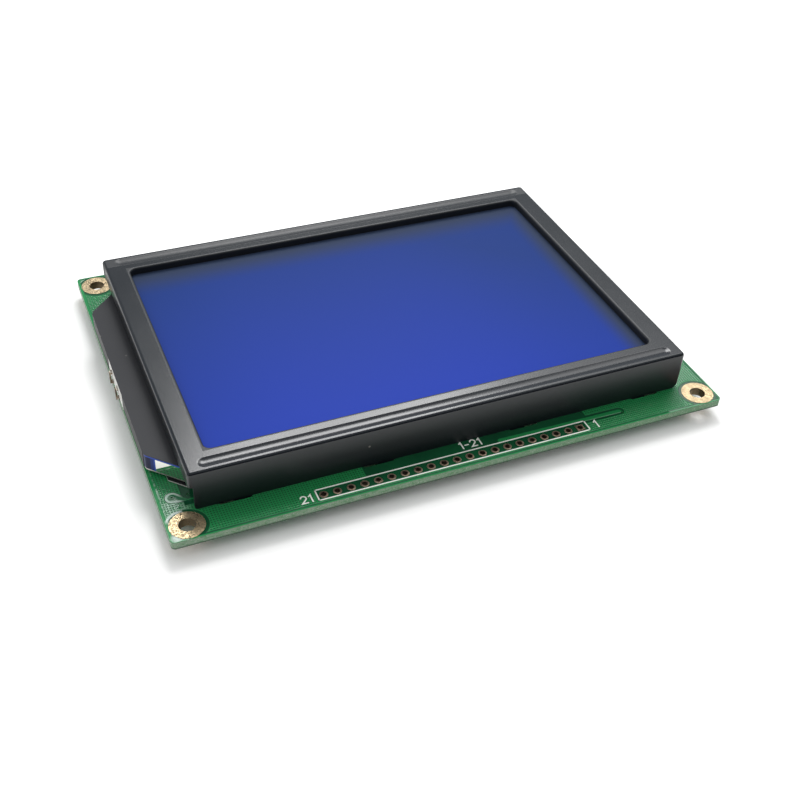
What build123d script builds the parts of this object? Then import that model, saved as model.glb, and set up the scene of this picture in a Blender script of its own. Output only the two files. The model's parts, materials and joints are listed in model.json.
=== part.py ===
"""Monochrome graphic display module: folded bezel, liquid-crystal cell, edge-lit backlight and board."""

import os

from build123d import *

os.makedirs("parts", exist_ok=True)

# Frame: the origin is the middle of the four mounting holes on the board's rear face.
# +X runs along the header row towards hole 1, +Y away from the header, +Z out of the display.

# Bezel, folded and drawn from one sheet
sheet = 0.5
bezel_width = 97.5
bezel_depth = 68.4
bezel_corner_radius = 0.75
fold_radius = 0.6
drawn_rim_depth = 3.2
side_rail = 4.55
long_rail = 5.4
window_corner_radius = 1.3
window_recess = 1.5
window_lip_radius = 0.45
bead_inset = 2.2
bead_end_inset = 2.4
bead_width = 2.35
bead_depth = 0.25
bead_edge_radius = 0.5
corner_wrap = 1.8
relief_slit = 0.4
right_corner_cut = 1.3
left_corner_cut = 0.4
left_corner_inset = 0.85
left_wall_gap = 0.9
right_wall_gap = 0.4

# Bezel tabs, pushed through slots in the board and twisted behind it
tabs_per_side = 4
tab_end_inset = 9.2
tab_width = 3.1
tab_twist = 40.0
tab_straight = 0.4
tab_twist_height = 0.9
tab_reach = 2.4
slot_length = 6.1
slot_width = 1.1
slot_clearance = 0.15

# Board, with its margins around the bezel
board_thickness = 1.6
board_margin_left = 4.85
board_margin_right = 6.05
board_margin_front = 6.2
board_margin_back = 6.9
board_corner_radius = 0.8
mount_inset_side = 3.5
mount_inset_front = 3.2
mount_inset_back = 3.7
mount_hole_radius = 1.5
mount_land_radius = 3.1
barrel_wall = 0.1
land_thickness = 0.07

# Header row of plated holes along the front edge
pin_count = 21
pin_pitch = 2.54
pin_row_shift = -1.05
pin_edge_inset = 2.1
pin_hole_radius = 0.5
pin_land_radius = 0.8

# Three vias that show beside the bezel, from the board's left and front edges
via_insets = [(2.7, 10.3), (5.4, 10.25), (87.9, 3.2)]
via_hole_radius = 0.2
via_land_radius = 0.4

# Backlight, from the board upwards
insulator_thickness = 0.1
insulator_inset = 1.2
rear_plate_thickness = 0.25
rear_plate_reach = 0.45
foam_thickness = 0.4
foam_inset = 0.5
reflector_thickness = 0.25
guide_thickness = 3.0
diffuser_thickness = 0.1
guide_edge_inset = 0.1
guide_end_inset = 0.5
guide_side_inset = 1.8
guide_corner_cut = 6.0
guide_corner_radius = 1.2
plate_set_back = 3.0

# Light source at the outer end of the light guide
led_recess = 1.7
led_board_inset = 2.3
led_board_thickness = 0.5
led_gap = 1.8
led_length = 3.0
led_end_margin = 1.0
led_reach = 1.0
led_height = 1.8
cover_thickness = 0.12
cover_clearance = 0.35
cover_opening_shift = 0.9
cover_opening_length = 12.0
lead_shift = 1.6
lead_pitch = 5.1
lead_width = 0.5
lead_stock = 0.25
lead_stand_off = 0.65
lead_rise = 1.6
lead_foot = 1.2
solder_set_back = 0.8
solder_base_radius = 0.75
solder_top_radius = 0.35
solder_clearance = 0.1

# Liquid-crystal cell
glass_clearance = 1.0
glass_thickness = 1.1
seal_thickness = 0.1
seal_width = 1.4
contact_ledge = 2.6
polarizer_thickness = 0.15
polarizer_overlap = 1.4
polarizer_inset = 1.0
elastomer_width = 1.8
elastomer_end_inset = 5.2
side_elastomer_end_inset = 6.7

# Rear packages
package_stand_off = 0.12
package_draft = 7.0
package_mark_radius = 0.6
package_mark_depth = 0.12
package_mark_inset = 1.5
lead_thickness = 0.15
lead_reach = 1.6
controller_place = (-24.0, 4.0)
controller_lead_count = 16
controller_lead_pitch = 0.8
controller_lead_width = 0.35
controller_end_margin = 1.0
controller_height = 1.9
memory_place = (6.0, 8.0)
memory_lead_count = 14
memory_end_margin = 0.75
memory_width = 8.4
memory_height = 1.9
amplifier_place = (27.0, 10.0)
amplifier_lead_count = 7
amplifier_end_margin = 0.55
amplifier_width = 3.9
amplifier_height = 1.45
row_lead_pitch = 1.27
row_lead_width = 0.42
transistor_place = (30.0, 0.0)
transistor_length = 2.9
transistor_width = 1.3
transistor_height = 0.95
transistor_lead_pitch = 1.9
transistor_lead_reach = 0.8

# Rear domes and small parts
dome_places = [(-34.0, -19.0), (-12.0, -19.0), (10.0, -19.0), (34.0, -19.0), (41.0, 8.0)]
dome_base_radius = 5.2
dome_height = 1.5
resistor_rows = [(20.0, 20.0, 5), (-42.0, 22.0, 4), (-4.0, -7.0, 3)]
capacitor_rows = [(-8.0, 22.0, 4), (-45.0, 0.0, 3), (16.0, -6.0, 4)]
chip_pitch = 3.0
chip_length = 2.0
chip_width = 1.25
chip_end = 0.4
resistor_height = 0.5
capacitor_height = 0.9
tantalum_places = [(-44.0, 12.0), (38.0, 24.0)]
tantalum_length = 3.5
tantalum_width = 2.8
tantalum_height = 1.8
terminal_thickness = 0.12
terminal_foot = 0.8
terminal_rise = 1.0
terminal_width = 2.2
resonator_place = (-24.0, 18.0)
resonator_length = 7.4
resonator_width = 3.4
resonator_height = 1.6
resonator_band_width = 1.1
resonator_band_pitch = 2.5

# Levels that follow from the stack
rear_plate_z = board_thickness + insulator_thickness
foam_z = rear_plate_z + rear_plate_thickness
reflector_z = foam_z + foam_thickness
guide_z = reflector_z + reflector_thickness
guide_top_z = guide_z + guide_thickness
rear_polarizer_z = guide_top_z + diffuser_thickness
rear_glass_z = rear_polarizer_z + polarizer_thickness
seal_z = rear_glass_z + glass_thickness
front_glass_z = seal_z + seal_thickness
front_polarizer_z = front_glass_z + glass_thickness
cell_face_z = front_polarizer_z + polarizer_thickness
bezel_top_z = cell_face_z + window_recess
elastomer_height = front_glass_z - board_thickness

# Board and bezel places that follow from the margins
board_width = bezel_width + board_margin_left + board_margin_right
board_depth = bezel_depth + board_margin_front + board_margin_back
mount_spacing_x = board_width - 2 * mount_inset_side
mount_spacing_y = board_depth - mount_inset_front - mount_inset_back
board_left = -board_width / 2
board_front = -mount_spacing_y / 2 - mount_inset_front
board_y = board_front + board_depth / 2
bezel_x = board_left + board_margin_left + bezel_width / 2
bezel_y = board_front + board_margin_front + bezel_depth / 2
window_width = bezel_width - 2 * side_rail
window_depth = bezel_depth - 2 * long_rail
wall_middle = (bezel_depth - sheet) / 2
pin_row_x = bezel_x + pin_row_shift
pin_row_y = board_front + pin_edge_inset
pin_places = [
    (pin_row_x + pin_pitch * (index - (pin_count - 1) / 2), pin_row_y) for index in range(pin_count)
]
via_places = [(board_left + from_left, board_front + from_front) for from_left, from_front in via_insets]
tab_spacing = (bezel_width - 2 * tab_end_inset) / (tabs_per_side - 1)
tab_shifts = [tab_spacing * (index - (tabs_per_side - 1) / 2) for index in range(tabs_per_side)]

# Cell and backlight places that follow from the bezel and the board's left edge
front_glass_width = bezel_width - 2 * (sheet + glass_clearance)
front_glass_depth = bezel_depth - 2 * (sheet + glass_clearance)
rear_glass_width = front_glass_width - contact_ledge
rear_glass_depth = front_glass_depth - 2 * contact_ledge
rear_glass_x = bezel_x - contact_ledge / 2
glass_left = bezel_x - front_glass_width / 2
guide_left = board_left + guide_edge_inset
guide_right = glass_left + rear_glass_width - guide_end_inset
guide_depth = rear_glass_depth - 2 * guide_side_inset
guide_face = guide_depth - 2 * guide_corner_cut
plate_left = guide_left + plate_set_back
cover_inner = glass_left - cover_clearance
lead_lines = [bezel_y + lead_shift - lead_pitch / 2, bezel_y + lead_shift + lead_pitch / 2]


def save(piece, name):
    """Label a finished piece with its node's name and write it."""
    piece.part.label = name
    export_step(piece.part, f"parts/{name}.step")


def slot_places():
    """Middles of the board slots, each of which reaches outwards from its tab."""
    reach = (slot_length - tab_width) / 2 - slot_clearance
    for tab_y in (bezel_y - wall_middle, bezel_y + wall_middle):
        for shift in tab_shifts:
            outwards = 1 if shift > 0 else -1
            yield bezel_x + shift + outwards * reach, tab_y


def bead_bars(radius):
    """Two round-ended bars whose undersides are the beads pressed down in the long rails."""
    for bead_y in bead_lines:
        with Locations((bezel_x, bead_y, bead_axis_z)):
            Cylinder(radius, bead_run, rotation=(0, 90, 0))
            with GridLocations(bead_run, 0, 2, 1):
                Sphere(radius)


def plated_holes(places, hole_radius, land_radius, square_places=()):
    """Barrels through the board with a land on each face, round or square."""
    for land_z in (-land_thickness, board_thickness):
        with BuildSketch(Plane.XY.offset(land_z)) as lands:
            with Locations(*places):
                Circle(land_radius)
            for place in square_places:
                with Locations(place):
                    Rectangle(2 * land_radius, 2 * land_radius)
            with Locations(*places):
                Circle(hole_radius, mode=Mode.SUBTRACT)
        extrude(lands.sketch, amount=land_thickness)
    with BuildSketch() as barrels:
        with Locations(*places):
            Circle(hole_radius + barrel_wall)
            Circle(hole_radius, mode=Mode.SUBTRACT)
    extrude(barrels.sketch, amount=board_thickness)


def backlight_outline(left):
    """Backlight plan, its outer corners cut at 45 degrees and eased, from the given left edge."""
    front = bezel_y - guide_depth / 2
    back = bezel_y + guide_depth / 2
    with BuildLine() as outline:
        Polyline(
            (guide_right, front),
            (guide_right, back),
            (guide_left + guide_corner_cut, back),
            (guide_left, back - guide_corner_cut),
            (guide_left, front + guide_corner_cut),
            (guide_left + guide_corner_cut, front),
            close=True,
        )
    plan = make_face(outline.edges())
    fillet(plan.vertices().group_by(Axis.X)[0], guide_corner_radius)
    with Locations((left, bezel_y)):
        Rectangle(board_width, board_depth, align=(Align.MAX, Align.CENTER), mode=Mode.SUBTRACT)


def rear_plane(height):
    """Plane at a height above the board's rear face, looking away from it."""
    return Plane(origin=(0, 0, -height), x_dir=(1, 0, 0), z_dir=(0, 0, -1))


def package_body(place, length, width, height):
    """Moulded package, drafted both ways from its parting line, with a round mark by its first lead."""
    with BuildSketch(rear_plane(package_stand_off + height / 2)) as parting:
        with Locations((place[0], -place[1])):
            Rectangle(length, width)
    extrude(parting.sketch, amount=height / 2, taper=package_draft)
    extrude(parting.sketch, amount=-height / 2, taper=package_draft)
    mark_x = place[0] - length / 2 + package_mark_inset
    mark_y = place[1] + width / 2 - package_mark_inset
    with BuildSketch(rear_plane(package_stand_off + height)) as mark:
        with Locations((mark_x, -mark_y)):
            Circle(package_mark_radius)
    extrude(mark.sketch, amount=-package_mark_depth, mode=Mode.SUBTRACT)


def lead_row(place, half_width, side, count, pitch, height, width, reach):
    """Gull-wing leads along one side of a package, from its parting line to the board."""
    outwards = Vector(*side, 0)
    along = Vector(0, 0, 1).cross(outwards)
    shoulder = package_stand_off + (height + lead_thickness) / 2
    knee = reach / 4
    heel = reach / 2
    sections = [
        Plane(
            origin=Vector(*place, 0) + outwards * half_width + along * pitch * (index - (count - 1) / 2),
            x_dir=outwards,
            z_dir=along,
        )
        for index in range(count)
    ]
    with BuildSketch(*sections) as leads:
        with BuildLine() as section:
            Polyline(
                (0, shoulder),
                (0, shoulder - lead_thickness),
                (knee - lead_thickness, shoulder - lead_thickness),
                (heel - lead_thickness, 0),
                (reach, 0),
                (reach, lead_thickness),
                (heel, lead_thickness),
                (knee, shoulder),
                close=True,
            )
        make_face(section.edges())
    extrude(leads.sketch, amount=width / 2, both=True)


def chip_places(rows):
    """Middles of the small two-ended parts, row by row."""
    return [(first_x + chip_pitch * index, row_y) for first_x, row_y, count in rows for index in range(count)]


def chip_bodies(rows, height):
    """Bodies of the small two-ended parts between their end caps."""
    with Locations(*chip_places(rows)):
        Box(chip_width, chip_length - 2 * chip_end, height, align=(Align.CENTER, Align.CENTER, Align.MAX))


def chip_ends(rows, height):
    """Metal end caps of the small two-ended parts."""
    with Locations(*chip_places(rows)):
        with GridLocations(0, chip_length - chip_end, 1, 2):
            Box(chip_width, chip_end, height, align=(Align.CENTER, Align.CENTER, Align.MAX))


# Bezel: the solid that its hollow leaves empty, then the drawn tray with beads pressed down
bead_radius = (bead_width**2 / 4 + bead_depth**2) / (2 * bead_depth)
bead_axis_z = bezel_top_z - bead_depth + bead_radius
bead_run = bezel_width - 2 * bead_end_inset - bead_width
bead_lines = [bezel_y - bezel_depth / 2 + bead_inset, bezel_y + bezel_depth / 2 - bead_inset]

with BuildPart() as bead_outside:
    bead_bars(bead_radius)

with BuildPart() as bead_inside:
    bead_bars(bead_radius + sheet)

with BuildPart() as bezel_hollow:
    with BuildSketch(Plane.XY.offset(board_thickness)):
        with Locations((bezel_x, bezel_y)):
            RectangleRounded(bezel_width - 2 * sheet, bezel_depth - 2 * sheet, bezel_corner_radius - sheet)
    extrude(amount=bezel_top_z - sheet - board_thickness)
    fillet(bezel_hollow.faces().sort_by(Axis.Z)[-1].edges(), fold_radius - sheet)
    add(bead_inside.part, mode=Mode.SUBTRACT)

with BuildPart() as bezel:
    with BuildSketch(Plane.XY.offset(board_thickness)):
        with Locations((bezel_x, bezel_y)):
            RectangleRounded(bezel_width, bezel_depth, bezel_corner_radius)
    extrude(amount=bezel_top_z - board_thickness)
    fillet(bezel.faces().sort_by(Axis.Z)[-1].edges(), fold_radius)
    add(bead_outside.part, mode=Mode.SUBTRACT)
    top_face = bezel.faces().filter_by(GeomType.PLANE).filter_by(Axis.Z).sort_by(Axis.Z)[-1]
    fillet(top_face.inner_wires().edges(), bead_edge_radius)
    add(bezel_hollow.part, mode=Mode.SUBTRACT)

    # Window with its turned-down lip, which stops on the cell
    with BuildSketch(Plane.XY.offset(cell_face_z)):
        with Locations((bezel_x, bezel_y)):
            RectangleRounded(window_width + 2 * sheet, window_depth + 2 * sheet, window_corner_radius + sheet)
    extrude(amount=window_recess - sheet / 2)
    with BuildSketch(Plane.XY.offset(cell_face_z)):
        with Locations((bezel_x, bezel_y)):
            RectangleRounded(window_width, window_depth, window_corner_radius)
    extrude(amount=window_recess, mode=Mode.SUBTRACT)
    top_face = bezel.faces().filter_by(GeomType.PLANE).filter_by(Axis.Z).sort_by(Axis.Z)[-1]
    fillet(top_face.inner_wires().sort_by(SortBy.LENGTH)[-1].edges(), window_lip_radius)

    # Left wall cut away over the backlight that passes under it, together with its corners
    bezel_left = bezel_x - bezel_width / 2
    bezel_right = bezel_x + bezel_width / 2
    left_wall_z = guide_top_z + cover_thickness + left_wall_gap
    with Locations((bezel_left, bezel_y, board_thickness)):
        Box(
            2 * left_corner_inset,
            bezel_depth + sheet,
            left_wall_z - board_thickness,
            align=(Align.CENTER, Align.CENTER, Align.MIN),
            mode=Mode.SUBTRACT,
        )

    # Right wall that stops short of the board, between slits beside its wrapped corners
    wall_run = bezel_depth - 2 * corner_wrap
    with Locations((bezel_right, bezel_y, board_thickness)):
        Box(
            3 * sheet,
            wall_run,
            right_wall_gap,
            align=(Align.CENTER, Align.CENTER, Align.MIN),
            mode=Mode.SUBTRACT,
        )
        with GridLocations(0, wall_run - relief_slit, 1, 2):
            Box(
                3 * sheet,
                relief_slit,
                bezel_top_z - drawn_rim_depth - board_thickness,
                align=(Align.CENTER, Align.CENTER, Align.MIN),
                mode=Mode.SUBTRACT,
            )

    # Lower corners of the long walls, cut at 45 degrees
    wrap_middle = (bezel_depth - corner_wrap) / 2
    wall_ends = [(bezel_left + left_corner_inset, left_corner_cut), (bezel_right, -right_corner_cut)]
    with BuildSketch(Plane.XZ.offset(-bezel_y - wrap_middle), Plane.XZ.offset(-bezel_y + wrap_middle)):
        for end_x, inwards in wall_ends:
            with BuildLine():
                Polyline(
                    (end_x, board_thickness),
                    (end_x + inwards, board_thickness),
                    (end_x, board_thickness + abs(inwards)),
                    close=True,
                )
            make_face()
    extrude(amount=corner_wrap / 2, both=True, mode=Mode.SUBTRACT)

    # Tabs
    twist_top = -tab_straight
    twist_bottom = -tab_straight - tab_twist_height
    for tab_y in (bezel_y - wall_middle, bezel_y + wall_middle):
        for shift in tab_shifts:
            tab_x = bezel_x + shift
            with BuildSketch(Plane((tab_x, tab_y, twist_top))):
                Rectangle(tab_width, sheet)
            extrude(amount=board_thickness - twist_top)
            with BuildSketch(Plane((tab_x, tab_y, twist_top))):
                Rectangle(tab_width, sheet)
            with BuildSketch(Plane((tab_x, tab_y, twist_bottom))):
                Rectangle(tab_width, sheet, rotation=tab_twist)
            loft(ruled=True)
            with BuildSketch(Plane((tab_x, tab_y, twist_bottom))):
                Rectangle(tab_width, sheet, rotation=tab_twist)
            extrude(amount=-(tab_reach + twist_bottom))
save(bezel, "bezel")

# Board with its mounting holes, header holes, vias and tab slots
with BuildPart() as circuit_board:
    with BuildSketch():
        with Locations((0, board_y)):
            RectangleRounded(board_width, board_depth, board_corner_radius)
        with GridLocations(mount_spacing_x, mount_spacing_y, 2, 2):
            Circle(mount_hole_radius + barrel_wall, mode=Mode.SUBTRACT)
        with Locations(*pin_places):
            Circle(pin_hole_radius + barrel_wall, mode=Mode.SUBTRACT)
        with Locations(*via_places):
            Circle(via_hole_radius + barrel_wall, mode=Mode.SUBTRACT)
        with Locations(*slot_places()):
            SlotOverall(slot_length, slot_width, mode=Mode.SUBTRACT)
    extrude(amount=board_thickness)
save(circuit_board, "circuit_board")

# Plated mounting holes
with BuildPart() as mounting_hole_plating:
    mount_places = list(GridLocations(mount_spacing_x, mount_spacing_y, 2, 2))
    plated_holes(mount_places, mount_hole_radius, mount_land_radius)
save(mounting_hole_plating, "mounting_hole_plating")

# Plated header holes, with a square land at hole 1
with BuildPart() as header_hole_plating:
    plated_holes(pin_places, pin_hole_radius, pin_land_radius, pin_places[-1:])
save(header_hole_plating, "header_hole_plating")

# Plated vias
with BuildPart() as via_plating:
    plated_holes(via_places, via_hole_radius, via_land_radius)
save(via_plating, "via_plating")

# Insulating pad under the backlight
with BuildPart() as insulator_pad:
    with BuildSketch(Plane.XY.offset(board_thickness)):
        backlight_outline(plate_left)
        offset(amount=-insulator_inset, kind=Kind.INTERSECTION, mode=Mode.REPLACE)
    extrude(amount=insulator_thickness)
save(insulator_pad, "insulator_pad")

# Lower metal plate of the backlight
with BuildPart() as backlight_rear_plate:
    with BuildSketch(Plane.XY.offset(rear_plate_z)):
        backlight_outline(plate_left + rear_plate_reach)
        offset(amount=rear_plate_reach, kind=Kind.INTERSECTION, mode=Mode.REPLACE)
    extrude(amount=rear_plate_thickness)
save(backlight_rear_plate, "backlight_rear_plate")

# Foam between the two plates
with BuildPart() as backlight_foam:
    with BuildSketch(Plane.XY.offset(foam_z)):
        backlight_outline(plate_left)
        offset(amount=-foam_inset, kind=Kind.INTERSECTION, mode=Mode.REPLACE)
    extrude(amount=foam_thickness)
save(backlight_foam, "backlight_foam")

# Bright plate that backs the light guide
with BuildPart() as reflector_plate:
    with BuildSketch(Plane.XY.offset(reflector_z)):
        backlight_outline(guide_left)
    extrude(amount=reflector_thickness)
save(reflector_plate, "reflector_plate")

# Clear light guide with a recess for the light source in its outer end
led_board_length = guide_face - 2 * led_board_inset
led_count = int((led_board_length + led_gap - 2 * led_end_margin) // (led_length + led_gap))
with BuildPart() as light_guide:
    with BuildSketch(Plane.XY.offset(guide_z)):
        backlight_outline(guide_left)
        with Locations((guide_left, bezel_y)):
            Rectangle(2 * led_recess, led_board_length, mode=Mode.SUBTRACT)
    extrude(amount=guide_thickness)
save(light_guide, "light_guide")

# Strip board across the recess, with light-emitting diodes that face into the guide
with BuildPart() as led_board:
    with Locations((guide_left, bezel_y, guide_z)):
        Box(
            led_board_thickness,
            led_board_length,
            guide_thickness,
            align=(Align.MIN, Align.CENTER, Align.MIN),
        )
save(led_board, "led_board")

with BuildPart() as led_packages:
    with BuildSketch(Plane.YZ.offset(guide_left + led_board_thickness)):
        with Locations((bezel_y, guide_z + guide_thickness / 2)):
            with GridLocations(led_length + led_gap, 0, led_count, 1):
                Rectangle(led_length, led_height)
    extrude(amount=led_reach)
save(led_packages, "led_packages")

# Two bent leads from the strip board to the board's edge, and the solder over them
lead_outer = guide_left - lead_stand_off
lead_top = guide_z + lead_rise
with BuildPart() as backlight_leads:
    for lead_y in lead_lines:
        with BuildSketch(Plane.XZ.offset(-lead_y)):
            with BuildLine():
                Polyline(
                    (guide_left, lead_top),
                    (lead_outer, lead_top),
                    (lead_outer, board_thickness),
                    (guide_left + lead_foot, board_thickness),
                    (guide_left + lead_foot, board_thickness + lead_stock),
                    (lead_outer + lead_stock, board_thickness + lead_stock),
                    (lead_outer + lead_stock, lead_top - lead_stock),
                    (guide_left, lead_top - lead_stock),
                    close=True,
                )
            make_face()
        extrude(amount=lead_width / 2, both=True)
save(backlight_leads, "backlight_leads")

with BuildPart() as lead_solder:
    with Locations(*[(guide_left + solder_set_back, lead_y, board_thickness) for lead_y in lead_lines]):
        Cone(
            solder_base_radius,
            solder_top_radius,
            reflector_z - board_thickness - solder_clearance,
            align=(Align.CENTER, Align.CENTER, Align.MIN),
        )
    add(backlight_leads.part, mode=Mode.SUBTRACT)
save(lead_solder, "lead_solder")

# Tape over the outer end of the backlight, folded down its face and open at the leads
with BuildPart() as light_cover:
    with BuildSketch(Plane.XY.offset(guide_top_z)):
        backlight_outline(guide_left)
        with Locations((cover_inner, bezel_y)):
            Rectangle(board_width, board_depth, align=(Align.MIN, Align.CENTER), mode=Mode.SUBTRACT)
    extrude(amount=cover_thickness)
    with Locations((guide_left, bezel_y, reflector_z)):
        Box(
            cover_thickness,
            guide_face - guide_corner_radius,
            guide_top_z + cover_thickness - reflector_z,
            align=(Align.MAX, Align.CENTER, Align.MIN),
        )
        with Locations((0, cover_opening_shift)):
            Box(
                4 * cover_thickness,
                cover_opening_length,
                guide_top_z - reflector_z,
                align=(Align.CENTER, Align.CENTER, Align.MIN),
                mode=Mode.SUBTRACT,
            )
save(light_cover, "light_cover")

# Diffusing film between the guide and the cell
with BuildPart() as diffuser_film:
    with BuildSketch(Plane.XY.offset(guide_top_z)):
        with Locations((glass_left, bezel_y)):
            Rectangle(guide_right - glass_left, guide_depth, align=(Align.MIN, Align.CENTER))
    extrude(amount=diffuser_thickness)
save(diffuser_film, "diffuser_film")

# Liquid-crystal cell: two glasses, the seal between them and a polarizer on each face
with BuildPart() as rear_polarizer:
    with BuildSketch(Plane.XY.offset(rear_polarizer_z)):
        with Locations((rear_glass_x, bezel_y)):
            Rectangle(rear_glass_width - 2 * polarizer_inset, rear_glass_depth - 2 * polarizer_inset)
    extrude(amount=polarizer_thickness)
save(rear_polarizer, "rear_polarizer")

with BuildPart() as rear_glass:
    with BuildSketch(Plane.XY.offset(rear_glass_z)):
        with Locations((rear_glass_x, bezel_y)):
            Rectangle(rear_glass_width, rear_glass_depth)
    extrude(amount=glass_thickness)
save(rear_glass, "rear_glass")

with BuildPart() as cell_seal:
    with BuildSketch(Plane.XY.offset(seal_z)):
        with Locations((rear_glass_x, bezel_y)):
            Rectangle(rear_glass_width, rear_glass_depth)
            offset(amount=-seal_width, kind=Kind.INTERSECTION, mode=Mode.SUBTRACT)
    extrude(amount=seal_thickness)
save(cell_seal, "cell_seal")

with BuildPart() as front_glass:
    with BuildSketch(Plane.XY.offset(front_glass_z)):
        with Locations((bezel_x, bezel_y)):
            Rectangle(front_glass_width, front_glass_depth)
    extrude(amount=glass_thickness)
save(front_glass, "front_glass")

with BuildPart() as front_polarizer:
    with BuildSketch(Plane.XY.offset(front_polarizer_z)):
        with Locations((bezel_x, bezel_y)):
            Rectangle(window_width + 2 * polarizer_overlap, window_depth + 2 * polarizer_overlap)
    extrude(amount=polarizer_thickness)
save(front_polarizer, "front_polarizer")

# Elastomer strips that carry the contacts from the board to the ledges of the front glass
long_elastomer = front_glass_width - 2 * elastomer_end_inset
side_elastomer = front_glass_depth - 2 * side_elastomer_end_inset
ledge_x = bezel_x + (front_glass_width - contact_ledge) / 2
ledge_shift = (front_glass_depth - contact_ledge) / 2

with BuildPart() as elastomer_front:
    with Locations((bezel_x, bezel_y - ledge_shift, board_thickness)):
        Box(long_elastomer, elastomer_width, elastomer_height, align=(Align.CENTER, Align.CENTER, Align.MIN))
save(elastomer_front, "elastomer_front")

with BuildPart() as elastomer_back:
    with Locations((bezel_x, bezel_y + ledge_shift, board_thickness)):
        Box(long_elastomer, elastomer_width, elastomer_height, align=(Align.CENTER, Align.CENTER, Align.MIN))
save(elastomer_back, "elastomer_back")

with BuildPart() as elastomer_side:
    with Locations((ledge_x, bezel_y, board_thickness)):
        Box(elastomer_width, side_elastomer, elastomer_height, align=(Align.CENTER, Align.CENTER, Align.MIN))
save(elastomer_side, "elastomer_side")

# Controller with leads on its four sides
controller_size = controller_lead_pitch * (controller_lead_count - 1) + 2 * controller_end_margin
with BuildPart() as controller_package:
    package_body(controller_place, controller_size, controller_size, controller_height)
save(controller_package, "controller_package")

with BuildPart() as controller_leads:
    for side in ((1, 0), (0, 1), (-1, 0), (0, -1)):
        lead_row(
            controller_place,
            controller_size / 2,
            side,
            controller_lead_count,
            controller_lead_pitch,
            controller_height,
            controller_lead_width,
            lead_reach,
        )
save(controller_leads, "controller_leads")

# Memory with leads along its long sides
memory_length = row_lead_pitch * (memory_lead_count - 1) + 2 * memory_end_margin
with BuildPart() as memory_package:
    package_body(memory_place, memory_length, memory_width, memory_height)
save(memory_package, "memory_package")

with BuildPart() as memory_leads:
    for side in ((0, 1), (0, -1)):
        lead_row(
            memory_place,
            memory_width / 2,
            side,
            memory_lead_count,
            row_lead_pitch,
            memory_height,
            row_lead_width,
            lead_reach,
        )
save(memory_leads, "memory_leads")

# Bias amplifier
amplifier_length = row_lead_pitch * (amplifier_lead_count - 1) + 2 * amplifier_end_margin
with BuildPart() as amplifier_package:
    package_body(amplifier_place, amplifier_length, amplifier_width, amplifier_height)
save(amplifier_package, "amplifier_package")

with BuildPart() as amplifier_leads:
    for side in ((0, 1), (0, -1)):
        lead_row(
            amplifier_place,
            amplifier_width / 2,
            side,
            amplifier_lead_count,
            row_lead_pitch,
            amplifier_height,
            row_lead_width,
            lead_reach,
        )
save(amplifier_leads, "amplifier_leads")

# Transistor with two leads on one side and one on the other
with BuildPart() as transistor_package:
    with BuildSketch(rear_plane(package_stand_off)):
        with Locations((transistor_place[0], -transistor_place[1])):
            Rectangle(transistor_length, transistor_width)
    extrude(amount=transistor_height, taper=package_draft)
save(transistor_package, "transistor_package")

with BuildPart() as transistor_leads:
    for side, count in (((0, 1), 1), ((0, -1), 2)):
        lead_row(
            transistor_place,
            transistor_width / 2,
            side,
            count,
            transistor_lead_pitch,
            0,
            row_lead_width,
            transistor_lead_reach,
        )
save(transistor_leads, "transistor_leads")

# Drivers under domes of epoxy
with BuildPart() as driver_domes:
    for dome_x, dome_y in dome_places:
        with BuildSketch(Plane(origin=(dome_x, dome_y, 0), x_dir=(1, 0, 0), z_dir=(0, 1, 0))):
            with BuildLine():
                TangentArc((0, dome_height), (dome_base_radius, 0), tangent=(1, 0))
                Polyline((dome_base_radius, 0), (0, 0), (0, dome_height))
            make_face()
        revolve(axis=Axis((dome_x, dome_y, 0), (0, 0, 1)))
save(driver_domes, "driver_domes")

# Chip resistors and capacitors
with BuildPart() as resistor_bodies:
    chip_bodies(resistor_rows, resistor_height)
save(resistor_bodies, "resistor_bodies")

with BuildPart() as resistor_ends:
    chip_ends(resistor_rows, resistor_height)
save(resistor_ends, "resistor_ends")

with BuildPart() as capacitor_bodies:
    chip_bodies(capacitor_rows, capacitor_height)
save(capacitor_bodies, "capacitor_bodies")

with BuildPart() as capacitor_ends:
    chip_ends(capacitor_rows, capacitor_height)
save(capacitor_ends, "capacitor_ends")

# Tantalum capacitors: drafted bodies on two wrapped terminals each
with BuildPart() as tantalum_bodies:
    with BuildSketch(rear_plane(terminal_thickness)):
        with Locations(*[(place_x, -place_y) for place_x, place_y in tantalum_places]):
            Rectangle(tantalum_length, tantalum_width)
    extrude(amount=tantalum_height)
    chamfer(tantalum_bodies.faces().sort_by(Axis.Z)[: len(tantalum_places)].edges(), 0.2)
save(tantalum_bodies, "tantalum_bodies")

with BuildPart() as tantalum_terminals:
    end = tantalum_length / 2
    for place_x, place_y in tantalum_places:
        with BuildSketch(Plane(origin=(place_x, place_y, 0), x_dir=(1, 0, 0), z_dir=(0, 1, 0))):
            with BuildLine():
                Polyline(
                    (end - terminal_foot, 0),
                    (end + terminal_thickness, 0),
                    (end + terminal_thickness, terminal_rise),
                    (end, terminal_rise),
                    (end, terminal_thickness),
                    (end - terminal_foot, terminal_thickness),
                    close=True,
                )
            make_face()
            mirror(about=Plane.YZ)
        extrude(amount=terminal_width / 2, both=True)
save(tantalum_terminals, "tantalum_terminals")

# Ceramic resonator with three terminal bands on each long side
with BuildPart() as resonator_body:
    with Locations((*resonator_place, 0)):
        Box(
            resonator_length,
            resonator_width,
            resonator_height,
            align=(Align.CENTER, Align.CENTER, Align.MAX),
        )
save(resonator_body, "resonator_body")

with BuildPart() as resonator_terminals:
    with Locations((*resonator_place, 0)):
        with GridLocations(resonator_band_pitch, resonator_width + terminal_thickness, 3, 2):
            Box(
                resonator_band_width,
                terminal_thickness,
                terminal_rise,
                align=(Align.CENTER, Align.CENTER, Align.MAX),
            )
save(resonator_terminals, "resonator_terminals")
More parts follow.
